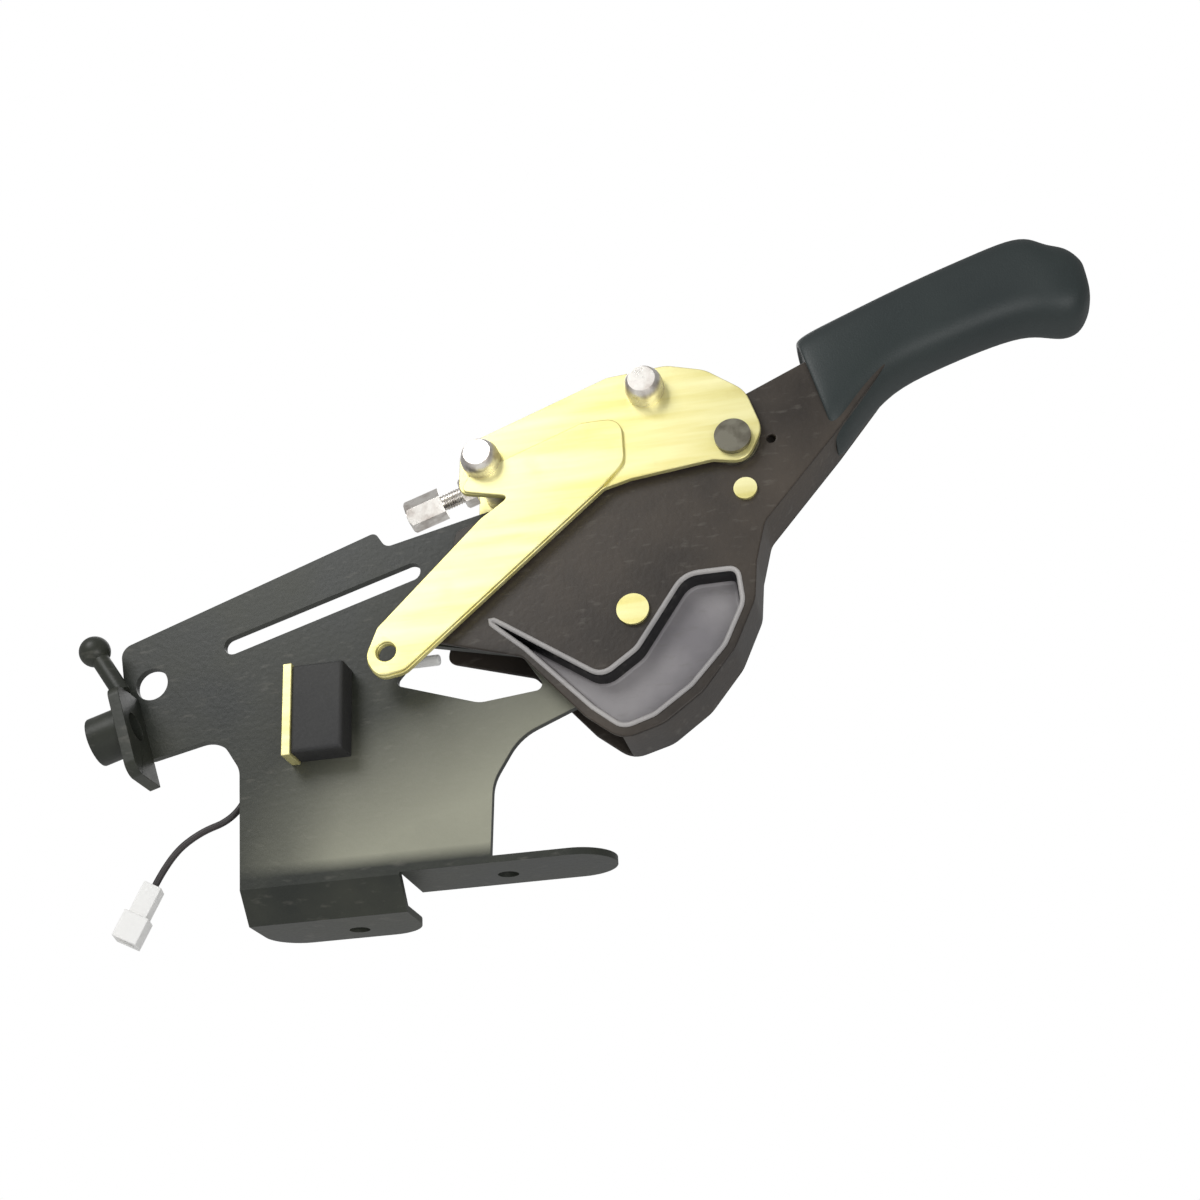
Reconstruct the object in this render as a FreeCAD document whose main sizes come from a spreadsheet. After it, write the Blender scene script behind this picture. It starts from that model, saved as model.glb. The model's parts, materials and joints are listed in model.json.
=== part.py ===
import FreeCAD
import Part
import Sketcher
import math
import os
from FreeCAD import Vector, Placement, Rotation

# Parking brake lever on its floor bracket. X runs towards the grip, Z up, Y away from the viewer.
# The origin is on the underside of the rear foot, midway through the plate's thickness.

SIZES = {
    "plate_thick": 4.0,        # bracket sheet
    "foot_thick": 3.0,
    "foot_depth": 35.0,        # rear foot, from the plate's front face
    "foot_drop": 14.0,         # the front foot sits this much lower
    "foot_hole_rad": 4.5,
    "foot_hole_back": 18.0,    # bolt hole behind the plate's middle
    "slot_rad": 4.2,
    "lever_half": 14.0,        # half the lever's outer width
    "lever_wall": 2.0,
    "recess_deep": 5.0,        # pressed crescent in the lever's front wall
    "link_thick": 3.0,
    "link_gap": 2.0,           # between lever wall and link plate
    "pivot_x": 65.0, "pivot_z": 100.0, "pivot_rad": 5.0,
    "linkpin_x": 114.0, "linkpin_z": 173.0, "linkpin_rad": 6.0,
    "pawlpin_x": 117.0, "pawlpin_z": 150.0, "pawlpin_rad": 3.5,
    "eye_x": -42.0, "eye_z": 92.0, "eye_rad": 4.2,
    "run_clear": 0.05,         # radial clearance of pins
    "side_clear": 0.3,
    "trun_ax": 2.0, "trun_az": 178.0, "trun_bx": 77.0, "trun_bz": 203.0, "trun_rad": 6.5,
    "rod_rad": 3.4,
    "nut_rad": 7.5, "nut_long": 17.0,
    "sector_rad": 42.0, "tooth_deep": 3.0, "tooth_step": 6.0, "sector_thick": 4.0,
    "grip_half": 18.0, "grip_round": 8.0,
    "button_rad": 9.0, "button_travel": 5.0,
    "lead_rad": 1.5,
}
S = SIZES

doc = FreeCAD.newDocument("HandbrakeLever")
sheet = doc.addObject("Spreadsheet::Sheet", "Sizes")
for row, (alias, value) in enumerate(SIZES.items(), start=1):
    sheet.set("A%d" % row, alias)
    sheet.set("B%d" % row, str(value))
    sheet.setAlias("B%d" % row, alias)
doc.recompute()

parts = []


def rounded_edges(points):
    """Lines and tangent arcs through (x, z, corner radius) points of a closed outline."""
    count = len(points)
    corners = []
    for i in range(count):
        here = Vector(points[i][0], points[i][1], 0)
        back = Vector(points[i - 1][0], points[i - 1][1], 0) - here
        ahead = Vector(points[(i + 1) % count][0], points[(i + 1) % count][1], 0) - here
        reach_back, reach_ahead = back.Length, ahead.Length
        back.normalize()
        ahead.normalize()
        radius = points[i][2]
        half = back.getAngle(ahead) / 2
        cut = min(radius / math.tan(half), 0.45 * reach_back, 0.45 * reach_ahead)
        if radius == 0 or half > math.pi / 2 - 0.01:
            corners.append((here, None, here))
            continue
        radius = cut * math.tan(half)
        middle = back + ahead
        middle.normalize()
        bulge = here + middle * (radius / math.sin(half) - radius)
        corners.append((here + back * cut, bulge, here + ahead * cut))
    edges = []
    for i in range(count):
        start, bulge, end = corners[i]
        if bulge is not None:
            edges.append(Part.Arc(start, bulge, end))
        edges.append(Part.LineSegment(end, corners[(i + 1) % count][0]))
    return edges


def slot_edges(x0, z0, x1, z1, radius):
    """A straight slot with round ends."""
    run = Vector(x1 - x0, z1 - z0, 0)
    run.normalize()
    side = Vector(-run.y, run.x, 0) * radius
    a, b = Vector(x0, z0, 0), Vector(x1, z1, 0)
    return [Part.LineSegment(a + side, b + side), Part.Arc(b + side, b + run * radius, b - side),
            Part.LineSegment(b - side, a - side), Part.Arc(a - side, a - run * radius, a + side)]


def sheet_body(name, front, thick, loops, circles=()):
    """A flat pressing: a sketch in the XZ plane padded towards the viewer; front and thick are expressions."""
    body = doc.addObject("PartDesign::Body", name)
    sketch = body.newObject("Sketcher::SketchObject", name + "_sketch")
    plane = [f for f in body.Origin.OriginFeatures if f.Role == "XZ_Plane"][0]
    sketch.AttachmentSupport = [(plane, "")]
    sketch.MapMode = "FlatFace"
    for edges in loops:
        sketch.addGeometry(edges, False)
    for x, z, radius in circles:
        count = sketch.GeometryCount
        sketch.addGeometry(Part.Circle(Vector(S[x] if x in S else x, S[z] if z in S else z, 0),
                                       Vector(0, 0, 1), 1.0), False)
        index = sketch.addConstraint(Sketcher.Constraint("Radius", count, 1.0))
        sketch.setExpression("Constraints[%d]" % index, radius)
    sketch.setExpression("AttachmentOffset.Base.z", "-(%s) - (%s)" % (front, thick))
    pad = body.newObject("PartDesign::Pad", name + "_pad")
    pad.Profile = sketch
    pad.setExpression("Length", thick)
    doc.recompute()
    return body


def cylinder_y(name, x, z, front, length, radius):
    """A round bar along Y; every argument is an expression on the sheet."""
    bar = doc.addObject("Part::Cylinder", name)
    bar.setExpression("Radius", radius)
    bar.setExpression("Height", length)
    bar.Placement = Placement(Vector(0, 0, 0), Rotation(Vector(1, 0, 0), -90))
    bar.setExpression("Placement.Base.x", x)
    bar.setExpression("Placement.Base.y", front)
    bar.setExpression("Placement.Base.z", z)
    return bar


def fuse(name, shapes):
    joined = doc.addObject("Part::MultiFuse", name)
    joined.Shapes = shapes
    return joined


def cut(name, base, tool):
    result = doc.addObject("Part::Cut", name)
    result.Base = base
    result.Tool = tool
    return result


def part(node, obj):
    obj.Label = node
    parts.append((node, obj))


def fixed(name, shape):
    """A shape made with Part's own functions, from the same sizes."""
    obj = doc.addObject("Part::Feature", name)
    obj.Shape = shape
    return obj


def bar(start, direction, length, radius):
    return Part.makeCylinder(radius, length, start, direction)


def prism(points, front, thick):
    """A solid with an XZ outline between two Y planes, for pieces with no flat sketch of their own."""
    edges = [e.toShape() for e in rounded_edges(points)]
    wire = Part.Wire(Part.__sortEdges__(edges))
    face = Part.Face(wire)
    face.rotate(Vector(0, 0, 0), Vector(1, 0, 0), 90)
    face.translate(Vector(0, front, 0))
    return face.extrude(Vector(0, thick, 0))


P, W = S["plate_thick"] / 2, S["lever_half"]
INNER = W - S["lever_wall"]

# Bracket: one pressing with a long slot, a window, and two feet folded back
plate_line = [(-173, 117, 6), (-53, 159, 3), (-48, 151, 4), (-22, 157, 3), (18, 166, 12), (62, 141, 20),
              (96, 120, 14), (97, 92, 16), (80, 70, 12), (60, 63, 10), (38, 65, 4), (11, 54, 25),
              (-1, 35, 20), (-3, 0, 0), (-112, 0, 0), (-114, 53, 10), (-124, 69, 12), (-156, 62, 4),
              (-166, 70, 6)]
window_line = [(-45, 84, 3), (-30, 101, 4), (13, 91, 4), (24, 74, 3), (-6, 71, 12)]
plate = sheet_body("plate_flat", "-Sizes.plate_thick / 2", "Sizes.plate_thick",
                   [rounded_edges(plate_line), rounded_edges(window_line),
                    slot_edges(-119, 112, -36, 137, S["slot_rad"])],
                   [(-157, 98, "7.5"), ("pivot_x", "pivot_z", "Sizes.pivot_rad")])
T = S["foot_thick"]
rear_foot = Part.makeBox(72, S["foot_depth"], T, Vector(-42, -P, 0))
tip = Part.makeCylinder(S["foot_depth"] / 2, T, Vector(30, -P + S["foot_depth"] / 2, 0))
rear_foot = rear_foot.fuse(tip)
step_back, low = 12.0, -S["foot_drop"]
profile = [(-P, T), (-P, -1), (-P + step_back, low), (-P + step_back + 36, low), (-P + step_back + 36, low + T),
           (-P + step_back + 1.3, low + T), (P, 0), (P, T)]
front_foot = Part.Face(Part.makePolygon([Vector(-112, y, z) for y, z in profile + profile[:1]]))
front_foot = front_foot.extrude(Vector(70, 0, 0))
front_foot = front_foot.makeFillet(16, [e for e in front_foot.Edges
                                        if abs(e.BoundBox.ZLength - T) < 1e-6 and e.BoundBox.YMin > 40
                                        and e.BoundBox.XLength < 1e-6])
feet = rear_foot.fuse(front_foot)
feet = feet.cut(bar(Vector(0, S["foot_hole_back"], -1), Vector(0, 0, 1), T + 2, S["foot_hole_rad"]))
feet = feet.cut(bar(Vector(-70, S["foot_hole_back"] + 14, low - 1), Vector(0, 0, 1), T + 2,
                    S["foot_hole_rad"]))
bracket = fuse("bracket_undrilled", [plate, fixed("feet", feet.removeSplitter())])

# Cable abutment, ferrule and stud at the front end
slope = math.atan2(137 - 112, -36 + 119)
along = Vector(math.cos(slope), 0, math.sin(slope))
rise = Vector(-math.sin(slope), 0, math.cos(slope))
cable_at = Vector(-160, -14, 73)
lug = Part.makeBox(5, 24, 44, Vector(-2.5, -12, -26))
lug = lug.makeFillet(6, [e for e in lug.Edges if e.BoundBox.XLength > 4 and e.BoundBox.YMax < 0])
lug.Placement = Placement(cable_at, Rotation(Vector(0, 1, 0), -math.degrees(slope)))
lug = lug.cut(bar(cable_at - along * 20, along, 40, 6.5))
part("cable_abutment", fixed("cable_abutment", lug))
ferrule = bar(cable_at - along * 16.5, along, 14, 11).cut(bar(cable_at - along * 30, along, 60, 6.5))
part("cable_ferrule", fixed("cable_ferrule", ferrule))
stud_foot = cable_at + rise * 18
stud_way = Vector(-0.55, 0, 0.83)
stud_way.normalize()
stud = bar(stud_foot, stud_way, 24, 4.0).fuse(Part.makeSphere(7.0, stud_foot + stud_way * 26))
stud = stud.cut(lug)
part("end_stud", fixed("end_stud", stud.removeSplitter()))

# Rubber stop on its plated clip, in front of the plate
clip = Part.makeBox(4, 14, 42, Vector(-90, -P - 14, 52))
part("stop_clip", fixed("stop_clip", clip))
stop = Part.makeBox(23, 14, 40, Vector(-86, -P - 14, 53))
stop = stop.makeFillet(2, [e for e in stop.Edges if e.BoundBox.YMax < -P - 13])
part("rubber_stop", fixed("rubber_stop", stop))

# Ratchet sector riveted behind the plate
centre = Vector(S["pivot_x"], 0, S["pivot_z"])
teeth = []
outline = []
start_angle, end_angle = 24.0, 108.0
steps = int(round((end_angle - start_angle) / S["tooth_step"]))
for i in range(steps):
    a0 = math.radians(start_angle + i * S["tooth_step"])
    a1 = math.radians(start_angle + (i + 0.75) * S["tooth_step"])
    outline.append((S["sector_rad"] - S["tooth_deep"], a0))
    outline.append((S["sector_rad"], a1))
outline.append((S["sector_rad"] - S["tooth_deep"], math.radians(end_angle)))
rim = [(centre.x + r * math.cos(a), centre.z + r * math.sin(a), 0) for r, a in outline]
rim += [(centre.x - 13, centre.z + 6, 6), (centre.x - 8, centre.z - 12, 6), (centre.x + 12, centre.z - 8, 6)]
sector = prism(rim, P, S["sector_thick"])
sector = sector.cut(bar(Vector(centre.x, -30, centre.z), Vector(0, 1, 0), 60, S["pivot_rad"]))
rivet_spots = [(centre.x + 20, centre.z + 20), (centre.x + 0, centre.z + 29)]
rivets = []
for x, z in rivet_spots:
    shank = bar(Vector(x, -P - 2, z), Vector(0, 1, 0), 2 * P + S["sector_thick"] + 4, 2.5)
    front_head = bar(Vector(x, -P - 2, z), Vector(0, 1, 0), 2, 4.5)
    rear_head = bar(Vector(x, P + S["sector_thick"], z), Vector(0, 1, 0), 2, 4.5)
    rivet = shank.fuse([front_head, rear_head]).removeSplitter()
    rivets.append(rivet)
    sector = sector.cut(rivet)
part("ratchet_sector", fixed("ratchet_sector", sector))
part("sector_rivets", fixed("sector_rivets", Part.Compound(rivets)))
part("bracket_plate", cut("bracket_drilled", bracket, fixed("rivet_tool", Part.Compound(rivets))))

# Lever pivot with its two spacer bushes
pin = cylinder_y("pivot_bar", "Sizes.pivot_x", "Sizes.pivot_z", "-Sizes.lever_half - Sizes.side_clear",
                 "2 * Sizes.lever_half + 2 * Sizes.side_clear", "Sizes.pivot_rad")
head_a = cylinder_y("pivot_head_a", "Sizes.pivot_x", "Sizes.pivot_z",
                    "-Sizes.lever_half - Sizes.side_clear - 1.4", "1.4", "Sizes.pivot_rad + 2")
head_b = cylinder_y("pivot_head_b", "Sizes.pivot_x", "Sizes.pivot_z",
                    "Sizes.lever_half + Sizes.side_clear", "1.4", "Sizes.pivot_rad + 2")
part("pivot_pin", fuse("pivot_pin", [pin, head_a, head_b]))
for side, y0, y1 in (("front", -INNER + S["side_clear"], -P),
                     ("rear", P + S["sector_thick"], INNER - S["side_clear"])):
    tube = bar(Vector(centre.x, y0, centre.z), Vector(0, 1, 0), y1 - y0, S["pivot_rad"] + 3)
    tube = tube.cut(bar(Vector(centre.x, y0 - 1, centre.z), Vector(0, 1, 0), y1 - y0 + 2, S["pivot_rad"]))
    part("pivot_bush_" + side, fixed("pivot_bush_" + side, tube))

# Lever: a folded channel that straddles the plate, open towards the bracket; its neck ends clear of the
# button at full press
neck_way = Vector(94, 0, 36)
neck_way.normalize()
neck_up = Vector(-neck_way.z, 0, neck_way.x)
button_at = Vector(246, 0, 238.5)
neck_end = button_at - neck_way * (S["button_travel"] + 2)
neck_top, neck_under = neck_end + neck_up * 7.4, neck_end - neck_up * 8.1
lever_line = [(-12, 148, 4), (73, 180, 6), (121, 197, 10), (146, 208, 3), (neck_top.x, neck_top.z, 0),
              (neck_under.x, neck_under.z, 0), (188, 208, 8), (158, 172, 4), (124, 133, 8), (119, 115, 6), (114, 93, 10), (91, 60, 14),
              (59, 43, 14), (42, 55, 5), (16, 85, 5), (-24, 97, 5)]
hollow_line = [(-60, 230, 0), (97, 230, 0), (97, 186.4, 0), (121.5, 195, 8), (146.8, 206.1, 0),
               (255, 247.5, 0), (255, 235.3, 0), (187, 209.8, 0), (156.4, 173.2, 0), (122.2, 134, 6),
               (117, 115.3, 5), (112, 93.7, 8), (89.4, 61.4, 12), (60, 45.6, 0), (60, 20, 0), (-60, 20, 0)]
crescent_line = [(-4, 106, 3), (50, 70, 6), (66, 82, 8), (90, 113, 9), (111, 112, 3), (110, 95, 9),
                 (88, 65, 12), (60, 49, 10), (45, 58, 5), (16, 89, 5)]
channel = prism(lever_line, -W, 2 * W).cut(prism(hollow_line, -INNER, 2 * INNER))
floor_block = prism(crescent_line, -W, S["recess_deep"] + S["lever_wall"])
skirt = prism(lever_line, -W, S["recess_deep"] + S["lever_wall"])
wall_out = 0.6 * S["lever_wall"]
crescent_wall = [(x + (wall_out if x > 66 else -wall_out), z + (wall_out if z > 90 else -wall_out), r)
                 for x, z, r in crescent_line]
channel = channel.fuse(prism(crescent_wall, -W, S["recess_deep"] + S["lever_wall"]).common(skirt))
channel = channel.cut(prism(crescent_line, -W - 1, S["recess_deep"] + 1))
for x, z, r in ((S["pivot_x"], S["pivot_z"], S["pivot_rad"] + S["run_clear"]),
                (S["linkpin_x"], S["linkpin_z"], S["linkpin_rad"]),
                (S["pawlpin_x"], S["pawlpin_z"], S["pawlpin_rad"]),
                (130, 173, 2.0)):
    channel = channel.cut(bar(Vector(x, -W - 2, z), Vector(0, 1, 0), 2 * W + 4, r))
part("lever_channel", fixed("lever_channel", channel.removeSplitter()))

# Moulded grip pushed over the lever's neck
grip_line = [(143, 224, 5), (250, 262, 8), (262, 255, 4), (273, 232, 6), (268, 213, 5), (247, 217, 14),
             (186, 200, 22), (158, 168, 3)]
grip = prism(grip_line, -S["grip_half"], 2 * S["grip_half"])
long_edges = [e for e in grip.Edges if abs(abs(e.CenterOfMass.y) - S["grip_half"]) < 1e-3]
grip = grip.makeFillet(S["grip_round"] * 0.6, long_edges)
grip = grip.cut(prism(lever_line, -W, 2 * W))
grip = grip.cut(bar(neck_end - neck_way * 3, neck_way, 60, S["button_rad"] + S["side_clear"]))
part("grip", fixed("grip", grip))

# Release button and its rod, which slide along the neck
button_body = bar(button_at, neck_way, 24, S["button_rad"])
button_body = button_body.makeFillet(4, [e for e in button_body.Edges
                                         if (e.CenterOfMass - button_at).dot(neck_way) > 20])
rod_from = Vector(138, 0, 197.2)
rod_long = (button_at - rod_from).dot(neck_way)
rod_from = button_at - neck_way * rod_long
part("release_button", fixed("release_button", button_body))
part("release_rod", fixed("release_rod", bar(rod_from, neck_way, rod_long, 2.5)))

# Pawl on its pin, held just off the crest of the teeth
pawl_pin_at = Vector(S["pawlpin_x"], 0, S["pawlpin_z"])
to_centre = centre - pawl_pin_at
reach = to_centre.Length - S["sector_rad"] - S["side_clear"]
to_centre.normalize()
across = Vector(-to_centre.z, 0, to_centre.x)
nose = pawl_pin_at + to_centre * reach
tail = pawl_pin_at - to_centre * 6 + across * -16


def xz(v, r):
    return (v.x, v.z, r)


pawl_line = [xz(nose + across * 1.5, 0), xz(pawl_pin_at + across * 7, 4), xz(pawl_pin_at - to_centre * 8, 5),
             xz(tail, 3), xz(tail + to_centre * 7, 3), xz(pawl_pin_at - across * 7 + to_centre * 4, 3),
             xz(nose - across * 1.5, 0)]
pawl = prism(pawl_line, P + 0.2, S["sector_thick"] - 0.4)
pawl = pawl.cut(bar(Vector(pawl_pin_at.x, -30, pawl_pin_at.z), Vector(0, 1, 0), 60,
                    S["pawlpin_rad"] + S["run_clear"]))
part("pawl", fixed("pawl", pawl))


def headed_pin(name, x, z, radius, front, rear, head_rad, head_thick):
    shank = bar(Vector(x, front, z), Vector(0, 1, 0), rear - front, radius)
    nose_head = bar(Vector(x, front - head_thick, z), Vector(0, 1, 0), head_thick, head_rad)
    tail_head = bar(Vector(x, rear, z), Vector(0, 1, 0), head_thick, head_rad)
    return fixed(name, shank.fuse([nose_head, tail_head]).removeSplitter())


part("pawl_pin", headed_pin("pawl_pin", pawl_pin_at.x, pawl_pin_at.z, S["pawlpin_rad"], -W, W,
                            S["pawlpin_rad"] + 1.6, 1.4))

# Link: a plated front cheek with a long arm, a short rear cheek, and the adjuster between them
L0 = W + S["link_gap"]
L1 = L0 + S["link_thick"]
part("link_pin", headed_pin("link_pin", S["linkpin_x"], S["linkpin_z"], S["linkpin_rad"],
                            -L1 - S["side_clear"], L1 + S["side_clear"], S["linkpin_rad"] + 2, 2.5))
for side, y0 in (("front", -L0 + 0.2), ("rear", W)):
    washer = bar(Vector(S["linkpin_x"], y0, S["linkpin_z"]), Vector(0, 1, 0), S["link_gap"] - 0.2,
                 S["linkpin_rad"] + 5)
    washer = washer.cut(bar(Vector(S["linkpin_x"], -40, S["linkpin_z"]), Vector(0, 1, 0), 80,
                            S["linkpin_rad"]))
    part("link_washer_" + side, fixed("link_washer_" + side, washer))
AX, AZ, BX, BZ = S["trun_ax"], S["trun_az"], S["trun_bx"], S["trun_bz"]
cheek_line = [(1, 150, 8), (15, 159, 2), (AX - 11, AZ - 14, 5), (AX - 10, AZ + 9, 8), (BX - 17, BZ + 9, 5),
              (BX + 10, BZ + 11, 14), (104, 209, 16), (121, 196, 16), (127, 176, 11), (119, 161, 9),
              (104, 164, 6), (68, 160, 8)]
upper_line = cheek_line + [(50, 158, 5)]
arm_line = [(-52, 90, 9), (-46, 104, 4)] + cheek_line + [(56, 157, 4), (-34, 82, 9), (-46, 80, 8)]
front_link = sheet_body("link_front_body", "-Sizes.lever_half - Sizes.link_gap - Sizes.link_thick",
                        "Sizes.link_thick", [rounded_edges(arm_line)],
                        [("linkpin_x", "linkpin_z", "Sizes.linkpin_rad + Sizes.run_clear"),
                         ("eye_x", "eye_z", "Sizes.eye_rad"),
                         ("trun_ax", "trun_az", "Sizes.trun_rad"), ("trun_bx", "trun_bz", "Sizes.trun_rad")])
part("link_arm", front_link)
rear_link = sheet_body("link_rear_body", "Sizes.lever_half + Sizes.link_gap", "Sizes.link_thick",
                       [rounded_edges(upper_line)],
                       [("linkpin_x", "linkpin_z", "Sizes.linkpin_rad + Sizes.run_clear"),
                        ("trun_ax", "trun_az", "Sizes.trun_rad"), ("trun_bx", "trun_bz", "Sizes.trun_rad")])
part("link_rear_cheek", rear_link)
trun_a = Vector(S["trun_ax"], 0, S["trun_az"])
trun_b = Vector(S["trun_bx"], 0, S["trun_bz"])
rod_way = trun_b - trun_a
rod_way.normalize()
rod_start = trun_a - rod_way * 42
rod_end_long = (trun_b - rod_start).Length + 12
adjuster = bar(rod_start, rod_way, rod_end_long, S["rod_rad"])
for node, at in (("trunnion_left", trun_a), ("trunnion_right", trun_b)):
    shank = bar(Vector(at.x, -L1, at.z), Vector(0, 1, 0), 2 * L1 + 1, S["trun_rad"])
    skirt_head = bar(Vector(at.x, -L1 - 4, at.z), Vector(0, 1, 0), 4, S["trun_rad"] + 2.2)
    dome = Part.makeSphere(S["trun_rad"] + 2.2, Vector(at.x, -L1 - 4, at.z))
    dome = dome.common(Part.makeBox(30, 6.2, 30, Vector(at.x - 15, -L1 - 10.2, at.z - 15)))
    trunnion = shank.fuse([skirt_head, dome]).removeSplitter().cut(adjuster)
    part(node, fixed(node, trunnion))
    clip_ring = bar(Vector(at.x, L1, at.z), Vector(0, 1, 0), 1, S["trun_rad"] + 3)
    clip_ring = clip_ring.cut(bar(Vector(at.x, L1 - 1, at.z), Vector(0, 1, 0), 3, S["trun_rad"]))
    part(node.replace("trunnion", "trunnion_ring"), fixed(node + "_ring", clip_ring))
part("adjuster_rod", fixed("adjuster_rod", adjuster))


def hex_nut(name, start, length, radius):
    corners = [start + Rotation(rod_way, 60 * k).multVec(Vector(0, radius, 0)) for k in range(6)]
    wire = Part.makePolygon(corners + [corners[0]])
    nut = Part.Face(wire).extrude(rod_way * length)
    round_off = Part.makeCone(radius - 0.9, radius + length, length + 0.9, start - rod_way * 0, rod_way)
    nut = nut.common(round_off)
    return fixed(name, nut.cut(bar(start - rod_way, rod_way, length + 2, S["rod_rad"])))


part("adjuster_nut", hex_nut("adjuster_nut", rod_start + rod_way * 0.5, S["nut_long"], S["nut_rad"]))
part("lock_nut", hex_nut("lock_nut", trun_a - rod_way * (S["trun_rad"] + 8.4), 6, S["nut_rad"] - 0.5))
part("adjuster_end_nut", hex_nut("adjuster_end_nut", trun_b + rod_way * (S["trun_rad"] + 0.2), 5,
                                 S["nut_rad"] - 1.0))

# Warning-lamp switch behind the plate, with its plunger, lead and connector
switch = Part.makeBox(26, 14, 18, Vector(-74, P, 90))
switch = switch.makeFillet(1.5, [e for e in switch.Edges if e.BoundBox.YMin > P + 13])
plunger_at = Vector(-60, 12, 99)
switch = switch.cut(bar(plunger_at, Vector(1, 0, 0), 40, 2.6))
part("switch_body", fixed("switch_body", switch))
plunger = bar(plunger_at + Vector(4, 0, 0), Vector(1, 0, 0), 29.0, 2.5)
plunger = plunger.makeFillet(1.2, [e for e in plunger.Edges if e.CenterOfMass.x > -28])
part("switch_plunger", fixed("switch_plunger", plunger))

lead_route = [Vector(-74, 9, 96), Vector(-90, 9, 92), Vector(-105, 9, 78), Vector(-110, 8, 60),
              Vector(-112, 6, 44), Vector(-119, 3, 32), Vector(-132, 0, 27), Vector(-144, -2, 17),
              Vector(-150, -3, 4)]


def lead_tube(route, radius):
    """Straight runs joined by tangent arcs, swept with a round section."""
    edges = []
    last = route[0]
    least = 1e9
    for i in range(1, len(route) - 1):
        here = route[i]
        back, ahead = route[i - 1] - here, route[i + 1] - here
        cut_back = 0.45 * min(back.Length, ahead.Length)
        half = back.getAngle(ahead) / 2
        back.normalize()
        ahead.normalize()
        bend = cut_back * math.tan(half)
        least = min(least, bend)
        middle = back + ahead
        middle.normalize()
        start, end = here + back * cut_back, here + ahead * cut_back
        edges.append(Part.LineSegment(last, start).toShape())
        edges.append(Part.Arc(start, here + middle * (bend / math.sin(half) - bend), end).toShape())
        last = end
    edges.append(Part.LineSegment(last, route[-1]).toShape())
    path = Part.Wire(edges)
    ring = Part.Wire(Part.makeCircle(radius, route[0], route[1] - route[0]))
    tube = path.makePipeShell([ring], True, False)
    print("lead length", round(path.Length, 1), "least bend radius", round(least, 1),
          "volume ratio", round(tube.Volume / (path.Length * math.pi * radius ** 2), 4))
    return tube


part("switch_lead", fixed("switch_lead", lead_tube(lead_route, S["lead_rad"])))
plug_way = lead_route[-1] - lead_route[-2]
plug_way.normalize()
plug = Part.makeBox(8, 13, 26, Vector(-4, -6.5, 0)).fuse(Part.makeBox(11, 16, 12, Vector(-5.5, -8, 14)))
plug = plug.cut(Part.makeBox(7, 12, 9, Vector(-3.5, -6, 18)))
plug = plug.removeSplitter()
plug.Placement = Placement(lead_route[-1], Rotation(Vector(0, 0, 1), plug_way))
part("lead_connector", fixed("lead_connector", plug))

doc.recompute()
for obj in doc.Objects:
    if "Invalid" in obj.State or "Error" in obj.State:
        raise RuntimeError("failed object: %s %s" % (obj.Name, obj.State))
os.makedirs("parts", exist_ok=True)
for node, obj in parts:
    shape = obj.Shape
    if shape.isNull() or not shape.isValid() or shape.Volume < 1:
        raise RuntimeError("bad shape: " + node)
    shape.exportStep("parts/%s.step" % node)
    box = shape.BoundBox
    print("%-20s solids %d vol %9.0f  x %.0f..%.0f y %.0f..%.0f z %.0f..%.0f" % (
        node, len(shape.Solids), shape.Volume, box.XMin, box.XMax, box.YMin, box.YMax, box.ZMin, box.ZMax))
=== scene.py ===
# %% [markdown]
# # A parking brake lever
# The lever is a folded steel channel that straddles a black bracket plate. A plated link with an adjuster
# hangs on it, and a moulded grip covers its neck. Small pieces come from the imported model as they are. This
# lesson gives them their finishes, and remodels the lever's shell, the link, the grip, the screw thread and
# the lead.

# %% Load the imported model
import json
import math
import bmesh
import bpy
from mathutils import Matrix, Vector


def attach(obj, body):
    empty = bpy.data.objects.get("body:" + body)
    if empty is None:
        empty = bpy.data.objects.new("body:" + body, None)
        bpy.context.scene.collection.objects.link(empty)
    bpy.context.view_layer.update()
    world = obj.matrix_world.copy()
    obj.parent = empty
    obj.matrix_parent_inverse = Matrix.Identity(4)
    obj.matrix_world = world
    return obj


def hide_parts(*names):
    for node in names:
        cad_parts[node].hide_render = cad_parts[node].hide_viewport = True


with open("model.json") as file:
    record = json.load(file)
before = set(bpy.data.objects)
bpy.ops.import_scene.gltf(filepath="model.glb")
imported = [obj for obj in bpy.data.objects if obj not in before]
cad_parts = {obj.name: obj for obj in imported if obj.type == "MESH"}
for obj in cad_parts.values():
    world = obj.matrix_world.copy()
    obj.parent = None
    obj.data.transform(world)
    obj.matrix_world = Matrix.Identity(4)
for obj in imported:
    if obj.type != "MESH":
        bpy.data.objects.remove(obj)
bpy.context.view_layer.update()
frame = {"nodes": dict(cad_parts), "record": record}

NODES = frame["nodes"]
MM = 0.001


# %% [markdown]
# ## Shader maths
# A finish is mostly arithmetic on noise. This small class wraps a socket, so that a mask can be written as
# an expression, and each operator adds one Math node.

# %% A socket that can be added and multiplied
class Mask:
    def __init__(self, tree, socket):
        self.tree, self.socket = tree, socket

    def maths(self, operation, a, b):
        node = self.tree.nodes.new("ShaderNodeMath")
        node.operation = operation
        for slot, value in zip(node.inputs, (a, b)):
            if isinstance(value, Mask):
                self.tree.links.new(value.socket, slot)
            else:
                slot.default_value = value
        return Mask(self.tree, node.outputs[0])

    def __add__(self, other):
        return self.maths("ADD", self, other)

    def __mul__(self, other):
        return self.maths("MULTIPLY", self, other)

    def __rsub__(self, other):
        return self.maths("SUBTRACT", other, self)

    __radd__, __rmul__ = __add__, __mul__


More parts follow.
